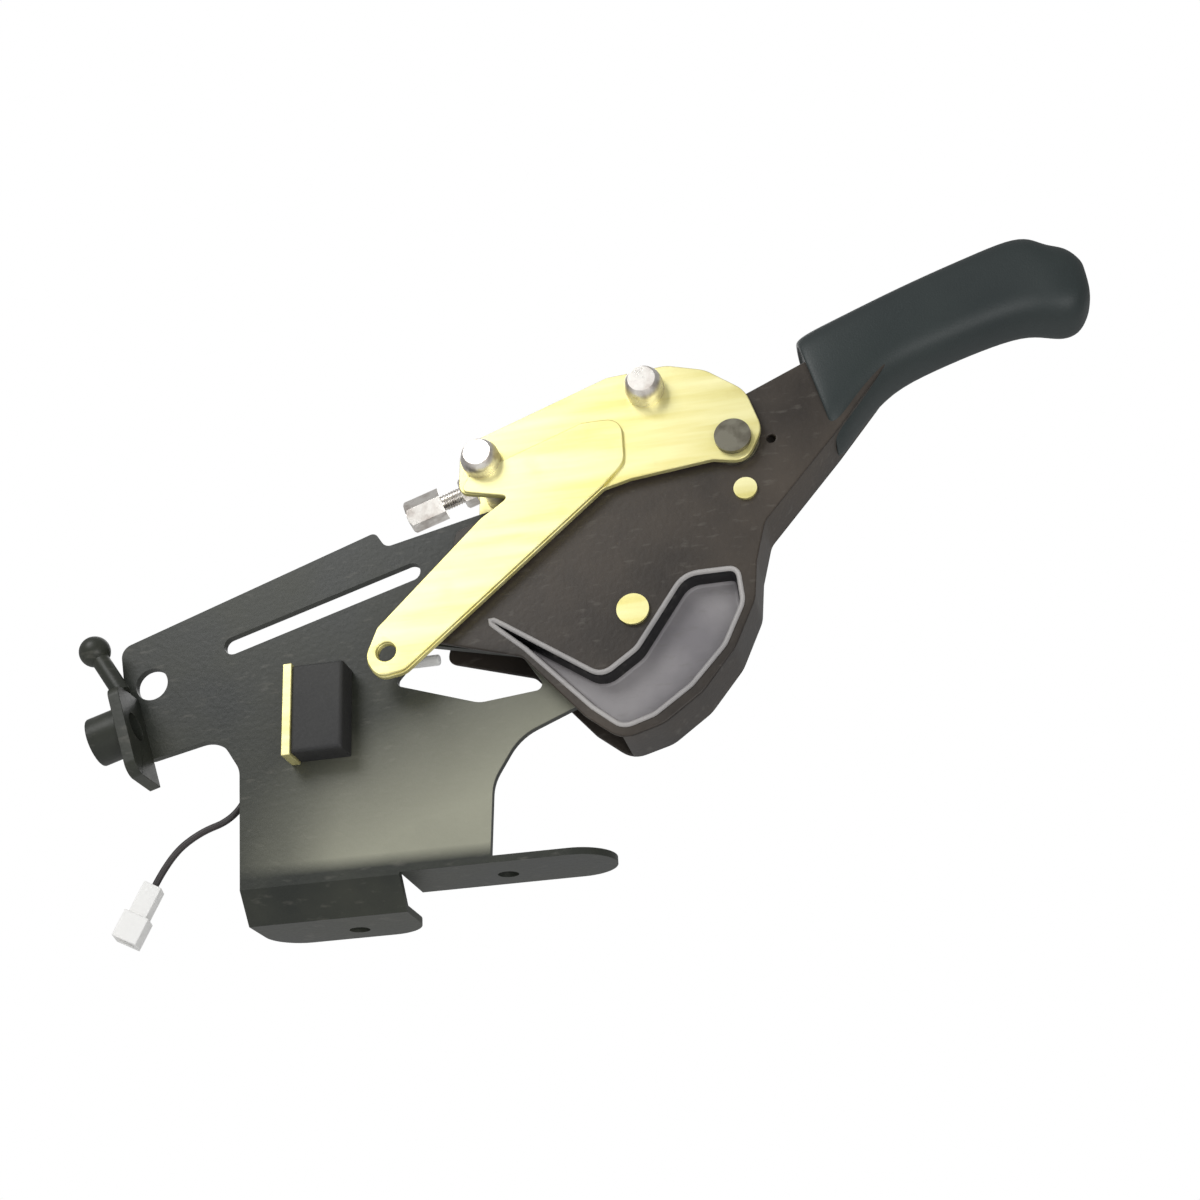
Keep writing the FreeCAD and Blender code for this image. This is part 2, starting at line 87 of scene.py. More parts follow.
class Finish:
    """One material under construction, with its Principled shader."""

    def __init__(self, name, metallic=0.0, **shader_values):
        self.material = bpy.data.materials.new(name)
        self.material.use_nodes = True
        self.tree = self.material.node_tree
        self.shader = self.tree.nodes["Principled BSDF"]
        self.shader.inputs["Metallic"].default_value = metallic
        for key, value in shader_values.items():
            self.shader.inputs[key.replace("_", " ")].default_value = value

    def node(self, kind, settings=None, **sockets):
        made = self.tree.nodes.new(kind)
        for key, value in (settings or {}).items():
            setattr(made, key, value)
        for key, value in sockets.items():
            target = made.inputs[key.replace("_", " ")]
            if isinstance(value, Mask):
                self.tree.links.new(value.socket, target)
            else:
                target.default_value = value
        return made

    def place(self, stretch=(1, 1, 1), turn=(0, 0, 0)):
        coords = self.tree.nodes.new("ShaderNodeTexCoord")
        mapping = self.node("ShaderNodeMapping", Vector=Mask(self.tree, coords.outputs["Object"]))
        mapping.inputs["Scale"].default_value = stretch
        mapping.inputs["Rotation"].default_value = turn
        return Mask(self.tree, mapping.outputs[0])

    def noise(self, scale, detail=4.0, stretch=(1, 1, 1), turn=(0, 0, 0)):
        made = self.node("ShaderNodeTexNoise", Vector=self.place(stretch, turn), Scale=scale, Detail=detail)
        return Mask(self.tree, made.outputs[0])

    def ramp(self, mask, low, high):
        made = self.node("ShaderNodeMapRange", Value=mask, From_Min=low, From_Max=high)
        return Mask(self.tree, made.outputs[0])

    def mix(self, mask, first, second):
        made = self.node("ShaderNodeMix", {"data_type": "RGBA"})
        self.tree.links.new(mask.socket, made.inputs["Factor"])
        for index, colour in ((6, first), (7, second)):
            if isinstance(colour, Mask):
                self.tree.links.new(colour.socket, made.inputs[index])
            else:
                made.inputs[index].default_value = (*colour, 1)
        return Mask(self.tree, made.outputs[2])

    def use(self, **sockets):
        for key, mask in sockets.items():
            self.tree.links.new(mask.socket, self.shader.inputs[key.replace("_", " ")])

    def bump(self, height, strength, distance):
        made = self.node("ShaderNodeBump", Height=height, Strength=strength, Distance=distance)
        self.use(Normal=Mask(self.tree, made.outputs[0]))
        return self


# %% [markdown]
# ## Finishes
# The black paint is satin and dusty, and a pale olive sheen is painted on the bracket's front face above its
# feet, as a painted reflection. The plated link is pale yellow zinc, streaked along the rolling direction. The
# grip is a grained moulding, almost black. Each finish is a short function, so that its variants share their
# noise.

# %% Black paint on pressed steel
# A scuffed tone, and the pale olive colour of the painted reflection on the bracket
SCUFFED, PAINTED_SHEEN = (0.16, 0.15, 0.13), (0.34, 0.34, 0.26)


def black_paint(name, base, dusty, dust_amount, with_painted_sheen=False):
    finish = Finish(name, 0.0, Specular_IOR_Level=0.32)
    cloud = finish.noise(18, 5)
    fine = finish.noise(900, 2)
    scuff = finish.ramp(finish.noise(130, 6, (1, 1, 3)), 0.60, 0.74)
    dust = finish.ramp(cloud, 0.35, 0.75) * dust_amount
    colour = finish.mix(dust, base, dusty)
    colour = finish.mix(scuff * 0.25, colour, SCUFFED)
    # Painted reflection: a pale olive sheen on the front face only, strongest low down above the feet, fading
    # upwards and to the left
    if with_painted_sheen:
        coords = finish.tree.nodes.new("ShaderNodeTexCoord")
        split = finish.node("ShaderNodeSeparateXYZ", Vector=Mask(finish.tree, coords.outputs["Object"]))
        along, depth, height = (Mask(finish.tree, split.outputs[axis]) for axis in "XYZ")
        sheen_mask = finish.ramp(height + along * -0.45 + cloud * 0.05, 0.125, 0.055)
        sheen_mask = sheen_mask * finish.ramp(depth, -0.0012, -0.0019) * finish.ramp(height, 0.003, 0.009)
        sheen_mask = sheen_mask * finish.ramp(along + cloud * 0.03, -0.105, -0.055)
        colour = finish.mix(sheen_mask * (cloud * 0.5 + 0.62), colour, PAINTED_SHEEN)
    finish.use(Base_Color=colour, Roughness=cloud * 0.25 + fine * 0.08 + 0.24)
    return finish.bump(finish.noise(420, 3) + cloud * 2.0, 0.22, 0.0004).material


# %% Yellow zinc plate
def yellow_zinc():
    finish = Finish("yellow zinc plate", 0.65)
    streak = finish.noise(60, 5, (0.25, 1, 2.4), (0, math.radians(-18), 0))
    blotch = finish.noise(45, 4)
    colour = finish.mix(finish.ramp(streak, 0.35, 0.7), (0.80, 0.72, 0.27), (0.93, 0.88, 0.48))
    colour = finish.mix(finish.ramp(blotch, 0.56, 0.8) * 0.5, colour, (0.62, 0.52, 0.18))
    finish.use(Base_Color=colour, Roughness=streak * 0.25 + 0.28)
    return finish.bump(streak + finish.noise(700, 2) * 0.4, 0.15, 0.0003).material


# %% Bare, bright and dark metal
def metal(name, light, dark, rough, metallic=0.95):
    finish = Finish(name, metallic)
    grime = finish.noise(150, 5)
    finish.use(Base_Color=finish.mix(finish.ramp(grime, 0.45, 0.75), light, dark),
               Roughness=grime * 0.3 + rough)
    return finish.bump(finish.noise(1200, 2), 0.12, 0.0002).material


# %% Moulded plastics and rubber
def moulded(name, colour, faded, rough, grain, depth):
    finish = Finish(name, 0.0, Specular_IOR_Level=0.45)
    cloud = finish.noise(14, 3)
    pores = finish.noise(grain, 3)
    finish.use(Base_Color=finish.mix(finish.ramp(cloud, 0.3, 0.75), colour, faded),
               Roughness=pores * 0.2 + rough)
    return finish.bump(pores, 0.35, depth).material


# The bracket's paint carries the painted reflection on its front face
PAINT = black_paint("bracket paint", (0.016, 0.019, 0.016), (0.060, 0.062, 0.045), 0.7, True)
LEVER_PAINT = black_paint("lever paint", (0.024, 0.020, 0.017), (0.085, 0.068, 0.052), 0.8)
# A light grey copy of the paint for the crescent's lip: a painted highlight along the rim
PAINTED_HIGHLIGHT = black_paint("painted highlight lip", (0.30, 0.29, 0.29), (0.50, 0.48, 0.46), 0.9)
# A pale grey copy of the paint for the crescent's floor: painted light
PAINTED_LIGHT_FLOOR = black_paint("painted light floor", (0.20, 0.19, 0.20), (0.42, 0.40, 0.40), 0.9)
SHADE = black_paint("shaded wall", (0.010, 0.010, 0.011), (0.025, 0.024, 0.024), 0.6)
ZINC = yellow_zinc()
BRIGHT = metal("bright plate", (0.86, 0.83, 0.78), (0.42, 0.36, 0.32), 0.16)
DARK = metal("dark steel", (0.20, 0.19, 0.15), (0.09, 0.08, 0.06), 0.3, 0.8)
GRIP = moulded("grip moulding", (0.013, 0.020, 0.021), (0.024, 0.033, 0.032), 0.40, 1400, 0.0003)
RUBBER = moulded("stop rubber", (0.016, 0.016, 0.018), (0.04, 0.04, 0.038), 0.55, 700, 0.0003)
NYLON = moulded("connector nylon", (0.86, 0.86, 0.84), (0.93, 0.92, 0.90), 0.35, 500, 0.0001)
WIRE = moulded("wire insulation", (0.02, 0.018, 0.018), (0.05, 0.04, 0.04), 0.4, 900, 0.0001)
FINISH_OF = {
    "black_steel": PAINT, "zinc_yellow": ZINC, "dark_steel": DARK, "bright_steel": BRIGHT,
    "black_rubber": RUBBER, "grip_black": GRIP, "switch_black": RUBBER, "plunger_white": NYLON,
    "lead_black": WIRE, "connector_white": NYLON,
}


def coat(piece, material):
    piece.data.materials.clear()
    piece.data.materials.append(material)


for row in frame["record"]["subparts"]:
    coat(NODES[row["node"]], FINISH_OF[row["material_slot"]])
coat(NODES["lever_channel"], LEVER_PAINT)


# %% [markdown]
# ## Rounded outlines
# The pressings were cut from flat sheet, so each is an outline with a thickness. A two-dimensional curve
# fills such an outline, and its bevel gives the small edge radius that a press leaves and light catches.

# %% Outline points with their corners rounded
ARC_STEPS = 6


def rounded(points):
    """Points of a closed outline whose corners, given as (x, z, radius), are turned into arcs."""
    loop = []
    count = len(points)
    for i, (x, z, radius) in enumerate(points):
        here = Vector((x, z))
        back = Vector(points[i - 1][:2]) - here
        ahead = Vector(points[(i + 1) % count][:2]) - here
        half = back.angle(ahead) / 2
        if radius == 0 or half > math.pi / 2 - 0.02:
            loop.append(here)
            continue
        cut = min(radius / math.tan(half), 0.48 * back.length, 0.48 * ahead.length)
        start, end = here + back.normalized() * cut, here + ahead.normalized() * cut
        for k in range(ARC_STEPS + 1):
            t = k / ARC_STEPS
            loop.append(start * (1 - t) ** 2 + here * 2 * t * (1 - t) + end * t ** 2)
    return loop


def circle(x, z, radius, count=32):
    angles = [2 * math.pi * k / count for k in range(count)]
    return [Vector((x + radius * math.cos(a), z + radius * math.sin(a))) for a in angles]


def smooth(data):
    data.polygons.foreach_set("use_smooth", [True] * len(data.polygons))


def even_shading(piece):
    """Lets the large flat faces set the normals, so that a broken edge doesn't shade the face beside it."""
    weighted = piece.modifiers.new("even shading", "WEIGHTED_NORMAL")
    weighted.weight = 100
    weighted.keep_sharp = True


def add_piece(name, data, material, slot, body, *nodes):
    """A finished mesh object, riding on its body and standing for the CAD nodes that it replaces."""
    piece = bpy.data.objects.new(name, data)
    bpy.context.scene.collection.objects.link(piece)
    coat(piece, material)
    if nodes:
        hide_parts(*nodes)
    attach(piece, body)
    return piece


def pressed_sheet(name, loops, front, thick, edge):
    """A flat pressing in the XZ plane, from its front face towards +Y, with its edges broken."""
    flat = bpy.data.curves.new(name, "CURVE")
    flat.dimensions = "2D"
    flat.fill_mode = "BOTH"
    flat.extrude = (thick / 2 - edge) * MM
    flat.bevel_depth = edge * MM
    flat.bevel_resolution = 2
    flat.offset = -edge * MM
    for loop in loops:
        spline = flat.splines.new("POLY")
        spline.points.add(len(loop) - 1)
        for point, place in zip(spline.points, loop):
            point.co = (place.x * MM, place.y * MM, 0, 1)
        spline.use_cyclic_u = True
    maker = bpy.data.objects.new(name + "_flat", flat)
    bpy.context.scene.collection.objects.link(maker)
    graph = bpy.context.evaluated_depsgraph_get()
    data = bpy.data.meshes.new_from_object(maker.evaluated_get(graph))
    bpy.data.objects.remove(maker)
    upright = Matrix.Rotation(math.pi / 2, 4, "X")
    data.transform(Matrix.Translation((0, (front + thick / 2) * MM, 0)) @ upright)
    merged = bmesh.new()
    merged.from_mesh(data)
    bmesh.ops.remove_doubles(merged, verts=merged.verts, dist=1e-6)
    bmesh.ops.recalc_face_normals(merged, faces=merged.faces)
    merged.to_mesh(data)
    merged.free()
    return data


# %% [markdown]
# ## Edges of the pressings and nuts
# A modelled solid has knife edges, and real parts don't. A copy of the pieces with plain faces is merged into
# whole faces and gets a narrow bevel, which gives every rim its thin line of light. A Bevel modifier does it,
# because it finds the edges by their angle.

# %% Softened copies
def softened_copy(node, width):
    mesh = bmesh.new()
    mesh.from_mesh(NODES[node].data)
    bmesh.ops.remove_doubles(mesh, verts=mesh.verts, dist=1e-6)
    bmesh.ops.dissolve_limit(mesh, angle_limit=math.radians(1.5), verts=mesh.verts, edges=mesh.edges)
    data = bpy.data.meshes.new(node + "_soft")
    mesh.to_mesh(data)
    mesh.free()
    smooth(data)
    row = next(r for r in frame["record"]["subparts"] if r["node"] == node)
    body = next(b for b, members in frame["record"]["behaviour"]["bodies"].items() if node in members)
    piece = add_piece(node + "_soft", data, FINISH_OF[row["material_slot"]], row["material_slot"], body, node)
    edge = piece.modifiers.new("edge", "BEVEL")
    edge.width = width * MM
    edge.segments = 2
    edge.limit_method = "ANGLE"
    edge.angle_limit = math.radians(35)
    even_shading(piece)


EDGE_OF = {"bracket_plate": 0.5, "cable_abutment": 0.5, "cable_ferrule": 0.6, "rubber_stop": 0.6,
           "stop_clip": 0.4, "adjuster_nut": 0.5, "lock_nut": 0.4, "adjuster_end_nut": 0.4,
           "switch_body": 0.5, "lead_connector": 0.5}
for node, width in EDGE_OF.items():
    softened_copy(node, width)
print("softened nodes", len(EDGE_OF))

# %% [markdown]
# ## The lever's shell
# The lever is one sheet, folded into a channel: two walls, joined by a web along the top and the nose side.
# A crescent is pressed deep into its front wall, with a rolled lip round it. The walls are pressed sheets,
# the web follows the same outline, and the crescent is a stack of offset copies of its own outline.

# %% Walls, web and crescent
HALF, WALL = 14.0, 2.0
SHELL = [(-12, 148, 4), (73, 180, 8), (121, 197, 12), (146, 208, 3), (236.8, 242.9, 0), (242.3, 228.5, 0),
         (188, 208, 10), (158, 172, 6), (124, 134, 10), (119, 116, 8), (117, 99, 14), (107, 78, 18),
         (92, 60, 18), (75, 48, 16), (57, 43, 12), (42, 55, 8), (16, 85, 6), (-24, 97, 5)]
CRESCENT = [(-2, 107, 4), (50, 71, 9), (66, 82, 12), (88, 113, 12), (110, 113, 4), (111, 98, 10),
            (102, 80, 14), (87, 64, 14), (71, 53, 12), (58, 49, 7), (46, 59, 5), (18, 89, 6)]
shell_loop, crescent_loop = rounded(SHELL), rounded(CRESCENT)
pin_holes = [circle(130, 173, 2.0, 20)]
front_wall = pressed_sheet("front_wall", [shell_loop, crescent_loop] + pin_holes, -HALF, WALL, 0.7)
rear_wall = pressed_sheet("rear_wall", [shell_loop] + pin_holes, HALF - WALL, WALL, 0.7)
shell = bmesh.new()
shell.from_mesh(front_wall)
shell.from_mesh(rear_wall)


def normals_of(loop):
    """Unit vectors that point out of a closed loop, whichever way it runs."""
    area = sum(a.x * b.y - b.x * a.y for a, b in zip(loop, loop[1:] + loop[:1]))
    turn = 1 if area > 0 else -1
    out = []
    for i in range(len(loop)):
        way = (loop[(i + 1) % len(loop)] - loop[i - 1]).normalized()
        out.append(Vector((way.y, -way.x)) * turn)
    return out


def strip(mesh, rows, closed):
    """Quads between rows of points, each row a list of (x, y, z) in millimetres."""
    made = [[mesh.verts.new(Vector(p) * MM) for p in row] for row in rows]
    for first, second in zip(made, made[1:]):
        count = len(first)
        for k in range(count if closed else count - 1):
            n = (k + 1) % count
            mesh.faces.new((first[k], first[n], second[n], second[k]))
    return made


def nearest_on_shell(x, z):
    return min(range(len(shell_loop)), key=lambda i: (shell_loop[i] - Vector((x, z))).length)


shell_out = normals_of(shell_loop)
web_from, web_to = nearest_on_shell(121, 197) - 2, nearest_on_shell(57, 43)
WEB_Y = HALF - 0.6
web_line = [(shell_loop[i], shell_out[i]) for i in range(web_from, web_to + 1)]
web_rows = [[(p.x - n.x * inset, y, p.y - n.y * inset) for p, n in web_line]
            for y, inset in ((-WEB_Y, 0.0), (WEB_Y, 0.0), (WEB_Y, WALL), (-WEB_Y, WALL), (-WEB_Y, 0.0))]
web = strip(shell, web_rows, False)
for end in (0, -1):
    shell.faces.new([web[k][end] for k in range(4)])

# %% The crescent's lip, side and floor, as (distance outwards, depth) steps of its outline
crescent_out = normals_of(crescent_loop)
FLOOR_Y, LIP_Y, SIDE_END_Y = -4.7, -HALF - 0.05, -5.2
LIP = [(1.9, -HALF + 0.4), (1.7, -HALF - 0.5), (1.0, -HALF - 0.9), (0.2, -HALF - 0.7), (-0.4, -HALF + 0.2),
       (-0.8, -HALF + 2.0), (-1.4, -5.6), (-2.0, FLOOR_Y), (-2.8, -4.4)]
shell.faces.ensure_lookup_table()
front_faces = len(shell.faces)
crescent_rows = [[(p.x + n.x * out, y, p.y + n.y * out) for p, n in zip(crescent_loop, crescent_out)]
                 for out, y in LIP]
floor_ring = strip(shell, crescent_rows, True)[-1]
shell.faces.new(floor_ring)
bmesh.ops.remove_doubles(shell, verts=shell.verts, dist=1e-6)
bmesh.ops.recalc_face_normals(shell, faces=shell.faces)
shell_data = bpy.data.meshes.new("lever_shell")
shell.to_mesh(shell_data)
smooth(shell_data)
shell_data.set_sharp_from_angle(angle=math.radians(55))
lever_shell = add_piece("lever_shell", shell_data, LEVER_PAINT, "black_steel", "lever", "lever_channel")
for extra in (PAINTED_HIGHLIGHT, PAINTED_LIGHT_FLOOR, SHADE):
    shell_data.materials.append(extra)
# The lip's faces get the painted highlight, the crescent's floor painted light, and its side wall painted shade
for face in shell_data.polygons:
    depth = face.center.y / MM
    faces_viewer = abs(face.normal.y)
    on_lip = depth < LIP_Y
    on_floor = abs(depth - FLOOR_Y) < 0.5 and faces_viewer > 0.5
    on_side = (-HALF + 0.5 < depth < SIDE_END_Y and faces_viewer < 0.4 and len(face.vertices) == 4
               and face.index > front_faces)
    face.material_index = 1 if on_lip else 2 if on_floor else 3 if on_side else 0
even_shading(lever_shell)
print("shell faces", len(shell_data.polygons))

# %% [markdown]
# ## The link
# The link is two plated cheeks, one each side of the lever. They are flat pressings, so they are pressed here
# from outlines with more steps round their corners. The long arm is a sheet of its own over the front cheek:
# its round end shows as a step half-way along. A thin pressing on the front face gives that step and its shadow.

# %% Cheeks of the link as pressings
TRUNNION_LEFT, TRUNNION_RIGHT = Vector((2, 0, 178)), Vector((77, 0, 203))
LINK_FRONT, LINK_THICK = 19.0, 3.0
AX, AZ, BX, BZ = TRUNNION_LEFT.x, TRUNNION_LEFT.z, TRUNNION_RIGHT.x, TRUNNION_RIGHT.z
CHEEK = [(1, 150, 8), (15, 159, 2), (AX - 11, AZ - 14, 5), (AX - 10, AZ + 9, 8), (BX - 17, BZ + 9, 5),
         (BX + 10, BZ + 11, 14), (104, 209, 16), (121, 196, 16), (127, 176, 11), (119, 161, 9), (104, 164, 6),
         (68, 160, 8)]
LINK_HOLES = [circle(114, 173, 6.05), circle(AX, AZ, 6.5), circle(BX, BZ, 6.5)]
for node, outline, holes, front in (
        ("link_arm", [(-52, 90, 9), (-46, 104, 4)] + CHEEK + [(56, 157, 4), (-34, 82, 9), (-46, 80, 8)],
         [circle(-42, 92, 4.2)], -LINK_FRONT),
        ("link_rear_cheek", CHEEK + [(50, 158, 5)], [], LINK_FRONT - LINK_THICK)):
    loops = [rounded(outline)] + LINK_HOLES + holes
    cheek_data = pressed_sheet(node + "_pressed", loops, front, LINK_THICK, 0.5)
    smooth(cheek_data)
    even_shading(add_piece(node + "_pressed", cheek_data, ZINC, "zinc_yellow", "link", node))

# %% Arm layer on the link
ARM = [(-51.5, 90, 9), (-46, 103.5, 4), (1, 149.5, 8), (14.5, 158.7, 2), (-8, 164, 4), (-4, 171, 3),
       (48, 190, 4), (66, 190, 9), (66, 168, 9), (56, 157.6, 4), (-34, 82.6, 9), (-46, 80.5, 8)]
LAYER_FRONT, LAYER_THICK = -20.6, 1.7
arm_data = pressed_sheet("arm_layer", [rounded(ARM), circle(-42, 92, 4.4)], LAYER_FRONT, LAYER_THICK, 0.5)
smooth(arm_data)
arm_layer = add_piece("arm_layer", arm_data, ZINC, "zinc_yellow", "link")
even_shading(arm_layer)
print("arm layer faces", len(arm_data.polygons))


# %% [markdown]
# ## The grip
# The real grip is one moulding: a flat-sided oval section that swells at both ends and bends where the
# palm rests. It is lofted from rounded sections along the neck, and subdivided so that it has no facets.

# %% Sections of the grip, from the collar to the nose
def rounded_ring(centre, across, half_high, half_wide, power=3.0, count=24):
    ring = []
    for k in range(count):
        turn = 2 * math.pi * k / count
        c, s = math.cos(turn), math.sin(turn)
        up = math.copysign(abs(s) ** (2 / power), s) * half_high
        side = math.copysign(abs(c) ** (2 / power), c) * half_wide
        ring.append(centre + across * up + Vector((0, side, 0)))
    return ring


TOP = [(144, 224), (150, 227.5), (162, 232), (185, 241), (205, 248.5), (225, 255), (243, 260.5), (252, 259.5),
       (258, 254), (266, 252), (271, 246)]
BOTTOM = [(157.5, 169.5), (162, 172.5), (170, 184), (184, 199), (204, 206.5), (226, 213.5), (245, 218.0),
          (255, 215.5), (262, 213.5), (269, 215.5), (273, 222)]
HALF_WIDE = [17.2, 17.8, 17.5, 16.5, 15.8, 15.8, 16.5, 17.2, 17.3, 16.6, 14.0]
grip_mesh = bmesh.new()
rings = []
for (tx, tz), (bx, bz), wide in zip(TOP, BOTTOM, HALF_WIDE):
    top, low = Vector((tx, 0, tz)), Vector((bx, 0, bz))
    across = (top - low).normalized()
    ring = rounded_ring((top + low) / 2, across, (top - low).length / 2, wide)
    rings.append([grip_mesh.verts.new(p * MM) for p in ring])
for first, second in zip(rings, rings[1:]):
    for k in range(len(first)):
        n = (k + 1) % len(first)
        grip_mesh.faces.new((first[k], first[n], second[n], second[k]))


def close_with_lip(mesh, ring, inset, depth):
    """Rolls the rim of an open end inwards and closes it round the middle."""
    middle = sum((v.co for v in ring), Vector()) / len(ring)
    inner = [mesh.verts.new(v.co.lerp(middle, inset) + depth) for v in ring]
    for k in range(len(ring)):
        n = (k + 1) % len(ring)
        mesh.faces.new((ring[k], ring[n], inner[n], inner[k]))
    return inner


collar_in = close_with_lip(grip_mesh, rings[0], 0.1, Vector((0, 0, 0)))
collar_in = close_with_lip(grip_mesh, collar_in, 0.05, Vector((2.5, 0, 1.2)) * MM)
grip_mesh.faces.new(collar_in)
nose_in = close_with_lip(grip_mesh, rings[-1], 0.3, Vector((2.0, 0, 0.8)) * MM)
nose_in = close_with_lip(grip_mesh, nose_in, 0.2, Vector((-1.5, 0, -0.6)) * MM)
grip_mesh.faces.new(nose_in)
bmesh.ops.recalc_face_normals(grip_mesh, faces=grip_mesh.faces)
grip_data = bpy.data.meshes.new("grip_moulding")
grip_mesh.to_mesh(grip_data)
smooth(grip_data)
grip_piece = bpy.data.objects.new("grip_moulding", grip_data)
bpy.context.scene.collection.objects.link(grip_piece)
soften = grip_piece.modifiers.new("soften", "SUBSURF")
soften.levels = soften.render_levels = 2
coat(grip_piece, GRIP)
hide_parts("grip")
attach(grip_piece, "lever")
print("grip faces", len(grip_data.polygons))


# %% [markdown]
# ## The adjuster's thread
# A fine thread repeats one ridge many times, which is what Geometry Nodes are for. A line of points runs
# along the rod, and each carries a thin ring, turned to face along the rod.

# %% A node tree that strings rings on a line
def thread_tree():
    tree = bpy.data.node_groups.new("thread rings", "GeometryNodeTree")
    for name, kind, way in (("Start", "NodeSocketVector", "INPUT"), ("End", "NodeSocketVector", "INPUT"),
                            ("Radius", "NodeSocketFloat", "INPUT"), ("Pitch", "NodeSocketFloat", "INPUT"),
                            ("Finish", "NodeSocketMaterial", "INPUT"),
                            ("Geometry", "NodeSocketGeometry", "OUTPUT")):
        tree.interface.new_socket(name, in_out=way, socket_type=kind)
    new, link = tree.nodes.new, tree.links.new
    given, out = new("NodeGroupInput"), new("NodeGroupOutput")
    line = new("GeometryNodeCurvePrimitiveLine")
    points = new("GeometryNodeCurveToPoints")
    points.mode = "LENGTH"
    circle = new("GeometryNodeCurvePrimitiveCircle")
    circle.inputs["Resolution"].default_value = 24
    profile = new("GeometryNodeCurvePrimitiveCircle")
    profile.inputs["Resolution"].default_value = 5
    thin = new("ShaderNodeMath")
    thin.operation = "MULTIPLY"
    thin.inputs[1].default_value = 0.42
    ring = new("GeometryNodeCurveToMesh")
    place = new("GeometryNodeInstanceOnPoints")
    real = new("GeometryNodeRealizeInstances")
    paint = new("GeometryNodeSetMaterial")
    link(given.outputs["Start"], line.inputs["Start"])
    link(given.outputs["End"], line.inputs["End"])
    link(line.outputs[0], points.inputs["Curve"])
    link(given.outputs["Pitch"], points.inputs["Length"])
    link(given.outputs["Radius"], circle.inputs["Radius"])
    link(given.outputs["Pitch"], thin.inputs[0])
    link(thin.outputs[0], profile.inputs["Radius"])
    link(circle.outputs[0], ring.inputs["Curve"])
    link(profile.outputs[0], ring.inputs["Profile Curve"])
    link(points.outputs["Points"], place.inputs["Points"])
    link(points.outputs["Rotation"], place.inputs["Rotation"])
    link(ring.outputs[0], place.inputs["Instance"])
    link(place.outputs[0], real.inputs[0])
    link(real.outputs[0], paint.inputs[0])
    link(given.outputs["Finish"], paint.inputs["Material"])
    link(paint.outputs[0], out.inputs[0])
    return tree


ROD_WAY = (TRUNNION_RIGHT - TRUNNION_LEFT).normalized()
holder = bpy.data.objects.new("thread_maker", bpy.data.meshes.new("thread_maker"))
bpy.context.scene.collection.objects.link(holder)
rings_tree = thread_tree()
maker = holder.modifiers.new("rings", "NODES")
maker.node_group = rings_tree
sockets = {s.name: s.identifier for s in rings_tree.interface.items_tree if s.in_out == "INPUT"}
maker[sockets["Start"]] = TRUNNION_LEFT * MM - ROD_WAY * 23 * MM
maker[sockets["End"]] = TRUNNION_RIGHT * MM - ROD_WAY * 8 * MM
maker[sockets["Radius"]] = 3.3 * MM
maker[sockets["Pitch"]] = 1.25 * MM
maker[sockets["Finish"]] = BRIGHT
graph = bpy.context.evaluated_depsgraph_get()
thread_data = bpy.data.meshes.new_from_object(holder.evaluated_get(graph))
bpy.data.objects.remove(holder)
thread = bpy.data.objects.new("adjuster_thread", thread_data)
bpy.context.scene.collection.objects.link(thread)
smooth(thread_data)
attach(thread, "link")
print("thread faces", len(thread_data.polygons))


# %% [markdown]
# ## The switch lead
# A short lead of the warning-lamp switch leaves its housing behind the plate, comes round the plate's
# front edge and hangs with its white connector. A smooth spline follows the route of the modelled tube.

# %% Lead and route
LEAD_ROUTE = [(-74, 9, 96), (-90, 9, 92), (-105, 9, 78), (-110, 8, 60), (-112, 6, 44), (-119, 3, 32),
              (-132, 0, 27), (-144, -2, 17), (-150, -3, 4)]
LEAD_RADIUS = 1.5
lead_curve = bpy.data.curves.new("lead", "CURVE")
lead_curve.dimensions = "3D"
spline = lead_curve.splines.new("NURBS")
spline.points.add(len(LEAD_ROUTE) - 1)
for point, place in zip(spline.points, LEAD_ROUTE):
    point.co = (*(c * MM for c in place), 1)
spline.order_u = 3
spline.use_endpoint_u = True
spline.resolution_u = 12
lead_curve.bevel_depth = LEAD_RADIUS * MM
lead_curve.bevel_resolution = 4
lead_curve.use_fill_caps = True
lead = bpy.data.objects.new("lead", lead_curve)
bpy.context.scene.collection.objects.link(lead)
coat(lead, WIRE)
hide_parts("switch_lead")
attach(lead, "bracket")
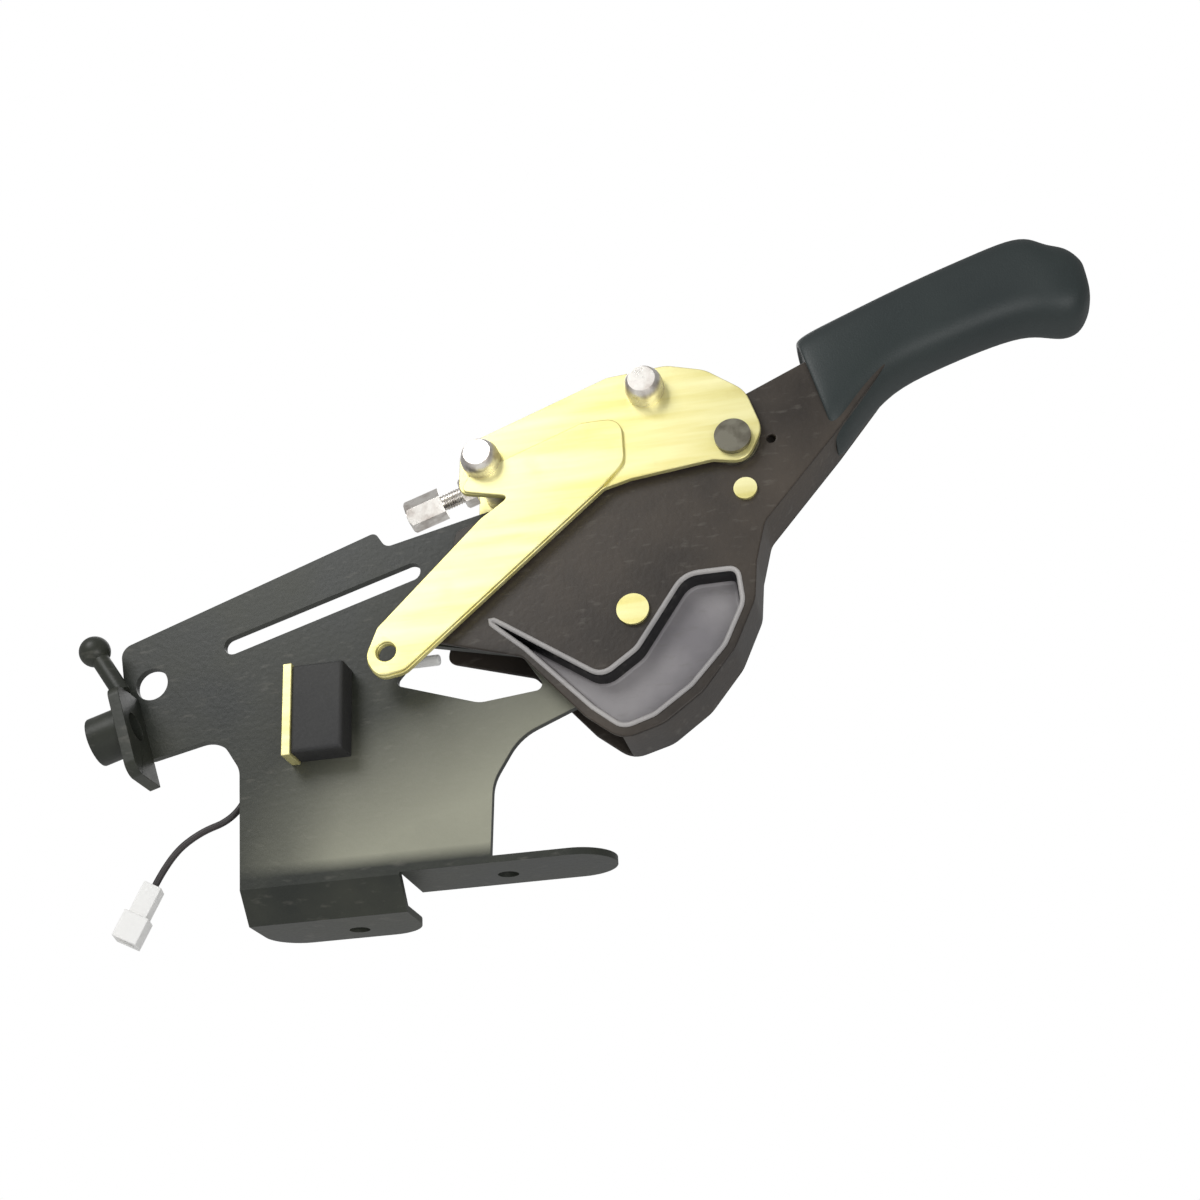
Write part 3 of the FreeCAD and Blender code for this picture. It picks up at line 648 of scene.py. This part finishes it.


# %% [markdown]
# ## Camera, stage and light
# The photograph looks slightly up at the lever from below, so the floor lies lower than the camera. The
# world is plain white to the camera and to rays through glass, a dimmer white to other rays, and soft lamps
# light the part.

# %% Camera at the photograph's angle
AZIMUTH, ELEVATION, ROLL = math.radians(10), math.radians(-24), math.radians(-3)
FOCAL_PX, FRAME_PX, SENSOR = 1800, 1200, 36
DISTANCE = FOCAL_PX / 2.3
AIM = Vector((48.48, 0, 112.85))
back = Vector((math.sin(AZIMUTH) * math.cos(ELEVATION), -math.cos(AZIMUTH) * math.cos(ELEVATION),
               math.sin(ELEVATION)))
level = Vector((math.cos(AZIMUTH), math.sin(AZIMUTH), 0))
upright = back.cross(level)
right = level * math.cos(ROLL) + upright * math.sin(ROLL)
up = upright * math.cos(ROLL) - level * math.sin(ROLL)
camera_data = bpy.data.cameras.new("camera")
camera_data.sensor_width = SENSOR
camera_data.lens = FOCAL_PX / FRAME_PX * SENSOR
camera = bpy.data.objects.new("camera", camera_data)
bpy.context.scene.collection.objects.link(camera)
camera.matrix_world = Matrix.Translation((AIM + back * DISTANCE) * MM) @ Matrix(
    (right, up, back)).transposed().to_4x4()
bpy.context.scene.camera = camera

# %% Floor, world and lamps
bpy.ops.mesh.primitive_plane_add(size=6, location=(0, 0, -0.32))
floor = bpy.context.object
floor.name = "floor"
floor_paint = Finish("floor", 0.0, Roughness=0.9)
floor_paint.shader.inputs["Base Color"].default_value = (0.9, 0.9, 0.9, 1)
coat(floor, floor_paint.material)
world = bpy.data.worlds.new("studio")
bpy.context.scene.world = world
world.use_nodes = True
sky = world.node_tree.nodes["Background"]
sky.inputs["Color"].default_value = (1, 1, 1, 1)
ray = world.node_tree.nodes.new("ShaderNodeLightPath")
bright = Mask(world.node_tree, ray.outputs["Is Camera Ray"])
bright = bright.maths("MAXIMUM", bright, Mask(world.node_tree, ray.outputs["Is Transmission Ray"]))
level_of = bright * 0.62 + 0.38
world.node_tree.links.new(level_of.socket, sky.inputs["Strength"])


def lamp(name, place, aim, size, watts):
    data = bpy.data.lights.new(name, "AREA")
    data.size, data.energy = size, watts
    made = bpy.data.objects.new(name, data)
    bpy.context.scene.collection.objects.link(made)
    made.location = place
    made.rotation_mode = "QUATERNION"
    made.rotation_quaternion = (Vector(aim) - Vector(place)).to_track_quat("-Z", "Y")


lamp("key", (-0.5, -0.9, 0.8), (0.03, 0, 0.1), 0.6, 7.5)
lamp("low fill", (0.35, -0.6, -0.28), (0, 0, 0.1), 0.5, 3.2)
lamp("back", (-0.3, 0.9, 0.9), (0.05, 0, 0.1), 0.9, 4)
bpy.context.scene.view_settings.view_transform = "Standard"

# %% Update the scene before the end
bpy.context.view_layer.update()
